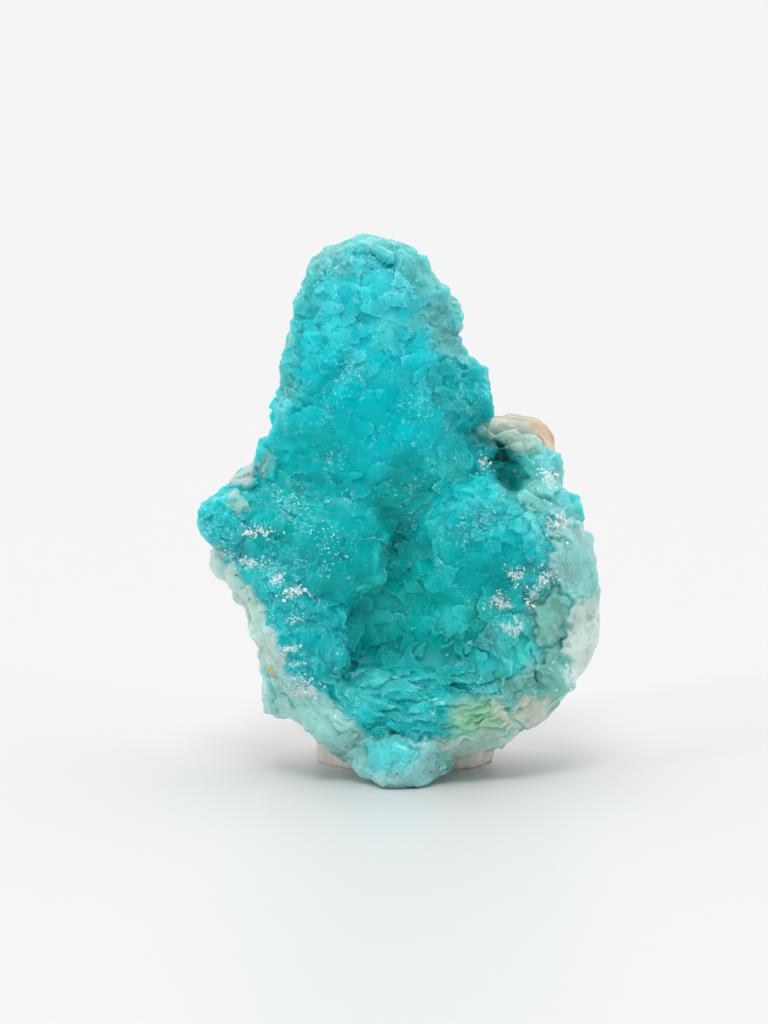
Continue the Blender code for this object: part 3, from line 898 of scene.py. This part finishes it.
TORN = 2.0 * MM
push = crystal.add("ShaderNodeTexNoise", Vector=where, Scale=800.0, Detail=2.0).outputs["Color"]
torn = crystal.vector_math("MULTIPLY_ADD", push, (TORN, TORN, TORN), where).outputs[0]
squeezed = crystal.add(
    "ShaderNodeCombineXYZ", X=1.0 - scaly_share * 0.45, Y=1.0 - scaly_share * 0.2, Z=scaly_share * 0.9 + 1.0
).outputs[0]
torn = crystal.vector_math("MULTIPLY", torn, squeezed).outputs[0]
broad, _, broad_slope = cell_pattern(crystal, torn, 230.0)
large, large_edge, large_slope = cell_pattern(crystal, torn, 560.0, (1.0, 1.0, 1.35))
small, small_edge, small_slope = cell_pattern(crystal, torn, 1500.0)
depth = crystal.noise(where, 260.0, 3.0)
patchy = crystal.noise(where, 700.0, 1.0)
streaky = crystal.noise(where, 1900.0, 1.0)
print("cells of three sizes, noise of three")

# %% [markdown]
# The first layers are broad: some cells are frosted, partly as painted sheen, some are darker, some cell
# edges get a painted highlight beside them, and fine cracks part a few of them.

# %% Frost with painted sheen, shade, painted edge highlights and cracks
FROST_AND_SHEEN_LIGHT = (0.04, 0.3, 0.33, 1)
CELL_SHADE = (0.4, 0.5, 0.49, 1)
BESIDE_LIGHT = (0.08, 0.45, 0.47, 1)
CRACK_SHADE = (0.25, 0.36, 0.35, 1)
# Frosted cells, partly painted sheen.
frosty = large.risen(0.5, 0.15) * 0.4 + small.risen(0.55, 0.15) * 0.3
frosted = crystal.mixed(frosty * pale_share, tint.outputs["Color"], FROST_AND_SHEEN_LIGHT, "SCREEN")
shaded = (1.0 - small.risen(0.0, 0.3)) * 0.16 + (1.0 - large.risen(0.0, 0.3)) * 0.2
shaded = shaded + depth.risen(0.45, 0.25) * 0.14 + broad.risen(0.55, 0.1) * 0.16
deepened = crystal.mixed(shaded, frosted, CELL_SHADE, "MULTIPLY")
# A painted highlight beside some cell edges.
beside = large_edge.near(0.1, 0.05) * patchy.risen(0.42, 0.12) * 0.3
edged = crystal.mixed(beside * (pale_share * 0.8 + 0.2), deepened, BESIDE_LIGHT, "SCREEN")
line = large_edge.fallen(0.04) * patchy.risen(0.49, 0.06) * (crack_share * 0.8 + 0.2)
thin_line = small_edge.fallen(0.06) * depth.risen(0.5, 0.08) * (crack_share * 0.5 + 0.2)
lined = crystal.mixed((line * 0.8 + thin_line * 0.4).clamped(), edged, CRACK_SHADE, "MULTIPLY")
print("frost, shade and cracks:", len(crystal.tree.nodes), "nodes so far")

# %% [markdown]
# Where two plates of the skin meet, the upper one gets a painted lit edge and the lower one painted shade.
# The stored numbers say how near a plate's edge is and which of the two is on top.

# %% Edges of the plates
RIM_LIGHT = (0.16, 0.45, 0.46, 1)
RIM_SHADE = (0.25, 0.4, 0.39, 1)
edged_here = depth.risen(0.4, 0.15) * 0.8 + 0.1
on_top = overlap.risen(0.5, 0.2)
upper_edge = (1.0 - (edge_gap - 0.2).math("ABSOLUTE").risen(0.05, 0.12)) * on_top * edged_here
under_edge = (1.0 - edge_gap.risen(0.05, 0.25)) * (1.0 - overlap.risen(0.4, 0.2)) * edged_here
under_edge = under_edge * (crack_share * 0.4 + 0.3)
rimmed = crystal.mixed(upper_edge * (pale_share * 0.5 + 0.15), lined, RIM_LIGHT, "SCREEN")
rimmed = crystal.mixed(under_edge, rimmed, RIM_SHADE, "MULTIPLY")
print("edges of the plates:", len(crystal.tree.nodes), "nodes so far")

# %% [markdown]
# The last layers are fine and bright: a lace of frost, spots of sugar, and painted glints. A painted glint is
# a short streak along a small cell's edge, a painted lit plate edge or a dot.

# %% Lace and sugar
LACE_LIGHT = (0.16, 0.5, 0.53, 1)
SUGAR_WHITE = (*screen(236, 246, 246), 1)
lace_noise = crystal.noise(where, 2600.0, 4.0, Roughness=0.7, Distortion=0.6)
lacy = lace_noise + sparkle_share * 0.045 + pale_share * 0.04 + glass_share * 0.03
lacy = lacy + white_share * 0.14 + (depth - 0.5) * 0.6
laced = crystal.mixed(lacy.risen(0.66, 0.06) * 0.55, rimmed, LACE_LIGHT, "SCREEN")
sugary = (streaky * 0.9 + patchy * 0.6 + white_share).risen(1.4, 0.15) * white_share.risen(0.05, 0.2)
sugary = sugary * lace_noise.risen(0.4, 0.12)
sugared = crystal.mixed(sugary * 0.75, laced, SUGAR_WHITE)
print("lace and sugar:", len(crystal.tree.nodes), "nodes so far")

# %% Glints
# Painted glints: light streaks and dots laid into the base colour.
GLINT_WHITE = (*screen(190, 246, 248), 1)
streak = small_edge.near(0.12, 0.05) * small.risen(0.6, 0.05)
streak = streak * streaky.risen(0.55, 0.04) * depth.risen(0.47, 0.08) * sparkle_share
lit_edge = upper_edge * streaky.risen(0.54, 0.05) * patchy.risen(0.46, 0.08)
lit_edge = lit_edge * (sparkle_share + glass_share * 0.5)
dots = crystal.add("ShaderNodeTexVoronoi", Vector=torn, Scale=4600.0)
dot_numbers = crystal.add("ShaderNodeSeparateColor", Color=dots.outputs["Color"])
dot_reach = crystal.value(dot_numbers, "Green") * 0.3 + 0.02
dot = (crystal.value(dot_numbers, "Red") + sparkle_share * 0.05).risen(0.999, 0.004)
dot = dot * (1.0 - (crystal.value(dots) - dot_reach).risen(0.0, 0.12)) * depth.risen(0.42, 0.1)
glinting = crystal.mixed((dot * 0.9 + streak * 0.65 + lit_edge * 0.8).clamped(), sugared, GLINT_WHITE)
print("the crystal's colour has", len(crystal.tree.nodes), "nodes")

# %% [markdown]
# The cells also tilt the surface a little, each its own way, where the crust is in relief. The gel is given a
# thin coat where it is glassy, and there a small share of plainly clear crystal is mixed in.

# %% Bump, gel and clear crystal
fine = crystal.noise(where, 2000.0, 2.0, Roughness=0.6)
height = fine * 0.3 + large_slope * 0.9 + small_slope * 0.6
height = height * (relief_share * 0.9 + 0.15).clamped() + broad_slope * 0.5
bump = crystal.add("ShaderNodeBump", Strength=0.6, Distance=0.1 * MM, Height=height)
gel = crystal.add(
    "ShaderNodeBsdfPrincipled",
    {"subsurface_method": "RANDOM_WALK"},
    Base_Color=glinting,
    Roughness=0.16,
    IOR=1.5,
    Specular_IOR_Level=0.08,
    Coat_Weight=glass_share * 0.4,
    Coat_Roughness=0.08,
    Subsurface_Weight=1.0,
    Subsurface_Radius=(0.4, 1.0, 1.0),
    Subsurface_Scale=4.0 * MM,
    Normal=bump.outputs["Normal"],
)
clear = crystal.add(
    "ShaderNodeBsdfPrincipled",
    Base_Color=glinting,
    Roughness=0.3,
    IOR=1.6,
    Transmission_Weight=1.0,
    Normal=bump.outputs["Normal"],
)
clear_share = glass_share * (depth.risen(0.35, 0.3) * 0.16 + 0.04)
both = crystal.add(
    "ShaderNodeMixShader", None, {0: clear_share, 1: gel.outputs["BSDF"], 2: clear.outputs["BSDF"]}
)
mass.data.materials.append(crystal.ended(both.outputs[0]))
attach(mass, "root")
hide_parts("smithsonite")
print(mass.name, "stands for the smithsonite solid")

# %% [markdown]
# The sugar is hundreds of grains, each a small cleavage rhomb. One grain is modelled by hand, as a cube stood
# on its corner, squashed along that diagonal and bevelled. All the others are copies of it.

# %% One grain
bpy.ops.object.select_all(action="DESELECT")
bpy.ops.mesh.primitive_cube_add(size=1)
grain = bpy.context.object
bpy.ops.object.mode_set(mode="EDIT")
bpy.ops.mesh.select_all(action="SELECT")
about_origin = {"center_override": (0.0, 0.0, 0.0)}
bpy.ops.transform.rotate(value=math.radians(45), orient_axis="X", **about_origin)
bpy.ops.transform.rotate(value=math.atan(math.sqrt(0.5)), orient_axis="Y", **about_origin)
bpy.ops.transform.resize(value=(1.0, 1.0, 0.66), **about_origin)
bpy.ops.mesh.bevel(offset=0.05, segments=1)
bpy.ops.object.mode_set(mode="OBJECT")
grain_corners = corners_of(grain)
grain_faces = [tuple(face.vertices) for face in grain.data.polygons]
bpy.data.objects.remove(grain)
print("a grain has", len(grain_corners), "corners and", len(grain_faces), "faces")

# %% [markdown]
# Grains and stains belong where the front view shows them. A ray from the camera's place finds the point of
# the crust that is seen there, and which way the crust faces.

# %% Where a line of sight meets the crust
front_tree = BVHTree.FromPolygons(
    [corner.co / MM for corner in mass.data.vertices], [tuple(face.vertices) for face in mass.data.polygons]
)


def met_at(right, up):
    """The point, in millimetres, and the normal where the crust is seen at right and up."""
    towards = (Vector((right, CAMERA_AIM.y, up)) - camera_place).normalized()
    point, normal, *_ = front_tree.ray_cast(camera_place, towards)
    return point, normal


print("the bowl is met at", tuple(round(c, 1) for c in met_at(3.0, 19.5)[0]), "mm")

# %% [markdown]
# The grains of one kind are joined into one mesh, because they belong together and never move apart.

# %% Many grains as one piece
GRAIN_LEAN = 0.35


def standing(normal, turn=None):
    """How a grain stands on the crust: leaning and turned at random, or flat and turned by the angle."""
    if turn is None:
        up_way = Vector(normal) + Vector(random.normal(size=3)) * GRAIN_LEAN
        spin = Matrix.Rotation(random.uniform(0, math.tau), 3, "Z")
        return up_way.to_track_quat("Z", "Y").to_matrix() @ spin
    return Vector(-normal).to_track_quat("Y", "Z").to_matrix() @ Matrix.Rotation(turn, 3, "Y")


def grains_mesh(name, material, places, turns=None):
    """One joined mesh of grains. Each place is a point, an outward normal and three sizes in millimetres."""
    points, faces = [], []
    for number, (point, normal, sizes) in enumerate(places):
        stand = standing(normal, turns and turns[number])
        faces += [tuple(len(points) + corner for corner in face) for face in grain_faces]
        turned = (grain_corners * np.array(sizes)) @ np.array(stand).T
        points += [tuple(corner) for corner in (turned + np.array(point)) * MM]
    mesh = bpy.data.meshes.new(name)
    mesh.from_pydata(points, [], faces)
    mesh.materials.append(material)
    thing = bpy.data.objects.new(name, mesh)
    bpy.context.scene.collection.objects.link(thing)
    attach(thing, "root")
    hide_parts("smithsonite")
    print(name, "has", len(places), "grains")


def plain_material(name, colour, **sockets):
    nodes = Nodes(bpy.data.materials.new(name))
    body = nodes.add("ShaderNodeBsdfPrincipled", Base_Color=(*colour, 1), **sockets)
    return nodes.ended(body.outputs["BSDF"])


# %% [markdown]
# The sugar grains lie thickest in the middle of their patch and are small, with a few larger ones. Each is
# sunk into the crust by a quarter of its width, as grown crystals are.

# %% Sugar grains
GRAIN_SCALE = 0.6
SUNK = 0.25
sugar_material = plain_material("sugar_grains", (0.8, 0.92, 0.91), Roughness=0.2, IOR=1.62)
places = []
for patch in SUGAR:
    turn = math.radians(patch.turn)
    for _ in range(patch.count):
        across, along = random.normal(size=2) * (0.5 * patch.half_right, 0.5 * patch.half_up)
        point, normal = met_at(
            patch.right + across * math.cos(turn) - along * math.sin(turn),
            patch.up + across * math.sin(turn) + along * math.cos(turn),
        )
        if point is not None:
            wide = GRAIN_SCALE * (patch.smallest + (patch.largest - patch.smallest) * random.random() ** 2)
            sizes = wide * random.uniform((0.8, 0.6, 0.5), (1.5, 1.1, 0.9))
            places.append((point - normal * SUNK * wide, normal, sizes))
grains_mesh("sugar_grains", sugar_material, places)

# %% [markdown]
# A few accidents make this specimen itself: a slit over the bowl, a mossy spot above the tongue, an amber
# stain on the left edge and black specks low down. Each is a grain pressed flat into the crust. The moss, the
# stain and the specks have their own colours, and the slit's grain is dark as painted shade inside the slit.

# %% Specks and stains
Speck = namedtuple("Speck", "right up wide high turn")
STAIN_DEPTH = 0.3
STAIN_SUNK = 0.12
MOSS = [
    Speck(-0.3 + 0.22 * i, 3.7 + 0.13 * (i % 3) - 0.1 * (i % 2), 0.34, 0.26, 40 * i)
    for i in range(-3, 4)
]
BLACK = [
    Speck(-0.3, -0.4, 0.34, 0.24, 0),
    Speck(3.1, -0.2, 0.26, 0.2, 20),
    Speck(-2.8, 0.2, 0.22, 0.18, 0),
    Speck(10.5, 13.2, 0.3, 0.16, 10),
]
AMBER = [Speck(-12.9, 10.0, 0.9, 1.0, 0), Speck(-12.7, 9.5, 0.6, 0.7, 30)]
STAINS = {
    # The slit's dark grain is painted shade.
    "slit_painted_shade": (screen(10, 60, 50), [Speck(0.9, 20.4, 0.25, 1.3, -12)]),
    "moss_spots": (screen(34, 84, 36), MOSS),
    "black_specks": (screen(26, 26, 22), BLACK),
    "amber_stain": (screen(222, 178, 84), AMBER),
    "brown_spot": (screen(120, 128, 60), [Speck(-16.4, 19.8, 0.45, 0.4, 0)]),
}
for name, (stain_colour, specks) in STAINS.items():
    found = [(met_at(speck.right, speck.up), speck) for speck in specks]
    places = [
        (point - normal * STAIN_SUNK, normal, (speck.wide, STAIN_DEPTH, speck.high))
        for (point, normal), speck in found
        if point
    ]
    turns = [math.radians(speck.turn) for _, speck in found]
    grains_mesh(name, plain_material(name, stain_colour, Roughness=0.5), places, turns)

# %% [markdown]
# The host rock is a plain, dull stone. It takes the same fine skin as the crystals, and a cloud texture
# pushes it in and out by a quarter of a millimetre, which reads as weathered grain.

# %% Shape of the rock
ROCK_VOXEL = 0.25
BUMP_WIDTH = 1.6
BUMP_HEIGHT = 0.5
rock = copy_of_solid("matrix", "host_rock")
applied(rock, "REMESH", mode="VOXEL", voxel_size=ROCK_VOXEL * MM)
bumps = bpy.data.textures.new("rock_bumps", "CLOUDS")
bumps.noise_scale = BUMP_WIDTH * MM
bumps.noise_depth = 4
applied(rock, "DISPLACE", texture=bumps, strength=BUMP_HEIGHT * MM, mid_level=0.5)
kept_above_floor(rock)
alone(rock)
bpy.ops.object.shade_smooth_by_angle(angle=math.radians(40))
print("rock:", len(rock.data.polygons), "faces")

# %% [markdown]
# Its foot is creamy, its ledge grey with a tan end, and the stone deep in the recess beside the ledge is
# painted dark teal, as painted shade with a painted green bounce from the crust around it. Height, side and
# distance from the recess choose between these colours.

# %% Stone material
RECESS_FLOOR = (10.6 * MM, 2.0 * MM, 30.0 * MM)
RECESS_SHADE_AND_BOUNCE = (*screen(20, 124, 118), 1)
STONE_COLOURS = {
    "grey": (screen(168, 172, 154), screen(216, 212, 196)),
    "tan": (screen(196, 168, 130), screen(226, 210, 184)),
    "creamy": (screen(226, 214, 202), screen(240, 236, 230)),
}
stone = Nodes(bpy.data.materials.new("host_stone"))
stone_where = stone.add("ShaderNodeTexCoord").outputs["Object"]
stone_noise = stone.noise(stone_where, 420.0, 5.0, Roughness=0.65)
parted = stone.add("ShaderNodeSeparateXYZ", Vector=stone_where)
high = stone.value(parted, "Z").risen(8 * MM, 8 * MM)
tan_end = stone.value(parted, "X").risen(12.6 * MM, 1.6 * MM)
grey, tan, creamy = [
    stone.mixed(stone_noise.risen(0.38, 0.24), (*dark, 1), (*light, 1))
    for dark, light in STONE_COLOURS.values()
]
upper = stone.mixed(tan_end, grey, tan)
# Painted shade and painted green bounce light deep in the recess.
from_recess = stone.vector_math("DISTANCE", stone_where, RECESS_FLOOR)
shadowy = 1.0 - stone.value(from_recess, "Value").risen(3.0 * MM, 2.0 * MM)
stone_colour = stone.mixed(shadowy, stone.mixed(high, creamy, upper), RECESS_SHADE_AND_BOUNCE)
stone_bump = stone.add("ShaderNodeBump", Strength=0.5, Distance=0.2 * MM, Height=stone_noise)
stone_body = stone.add(
    "ShaderNodeBsdfPrincipled", Base_Color=stone_colour, Roughness=0.85, Normal=stone_bump.outputs[0]
)
rock.data.materials.append(stone.ended(stone_body.outputs["BSDF"]))
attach(rock, "root")
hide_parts("matrix")
print(rock.name, "stands for the matrix solid")

# %% [markdown]
# The specimen stands on pale paper in a soft studio. The floor is so large that its far end is the
# background. The room is dimmer in front, so that the crust's gloss shows few reflections.

# %% Floor and room
ROOM_LOW, ROOM_RISE, ROOM_FRONT = 0.7, 0.4, 0.58
bpy.ops.object.select_all(action="DESELECT")
bpy.ops.mesh.primitive_plane_add(size=8, location=(0, 2.5, 0))
floor = bpy.context.object
floor.name = "floor"
paper = plain_material("floor_paper", (0.725, 0.72, 0.718), Roughness=0.4, Specular_IOR_Level=0.15)
floor.data.materials.append(paper)
floor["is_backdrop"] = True
world = Nodes(bpy.data.worlds.new("studio"))
sky = world.add("ShaderNodeSeparateXYZ", Vector=world.add("ShaderNodeTexCoord").outputs["Generated"])
overhead = world.value(sky, "Z").risen(0.0, 0.9)
front = (world.value(sky, "Y") * -1.0).risen(0.2, 0.6)
brightness = overhead * ROOM_RISE + ROOM_LOW - front * ROOM_FRONT
air = world.add("ShaderNodeBackground", Color=(0.98, 0.99, 1.0, 1), Strength=brightness)
bpy.context.scene.world = world.ended(air.outputs[0], "ShaderNodeOutputWorld")
print("room from", round(ROOM_LOW - ROOM_FRONT, 2), "in front to", ROOM_LOW + ROOM_RISE, "overhead")

# %% [markdown]
# Four far softboxes give the light its direction: a wide one above, a very wide one behind that softens the
# shadows, and two small ones at the sides for crisp glints. A near lamp would light the floor unevenly.


# %% Softboxes
def far_softbox(name, from_place, across, strength):
    """A softbox so far away that it lights floor and specimen alike, seen as wide as the given angle."""
    towards = (-Vector(from_place)).to_track_quat("-Z", "Y").to_euler()
    bpy.ops.object.light_add(type="SUN", rotation=towards)
    lamp = bpy.context.object
    lamp.name = name
    lamp.data.angle = math.radians(across)
    lamp.data.energy = strength
    print(name, "is", across, "degrees wide, strength", strength)


far_softbox("top_softbox", (-0.05, -0.7, 1.0), 22, 1.02)
far_softbox("back_softbox", (0.0, 0.45, 1.0), 45, 0.4)
far_softbox("left_softbox", (-0.9, -0.8, 0.55), 6, 0.36)
far_softbox("right_softbox", (0.9, -0.8, 0.45), 6, 0.12)
bpy.context.scene.view_settings.view_transform = "Standard"

# %% [markdown]
# The size of the dressed specimen is printed.

# %% Size
low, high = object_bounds()
print("dressed specimen from", tuple(low), "to", tuple(high))
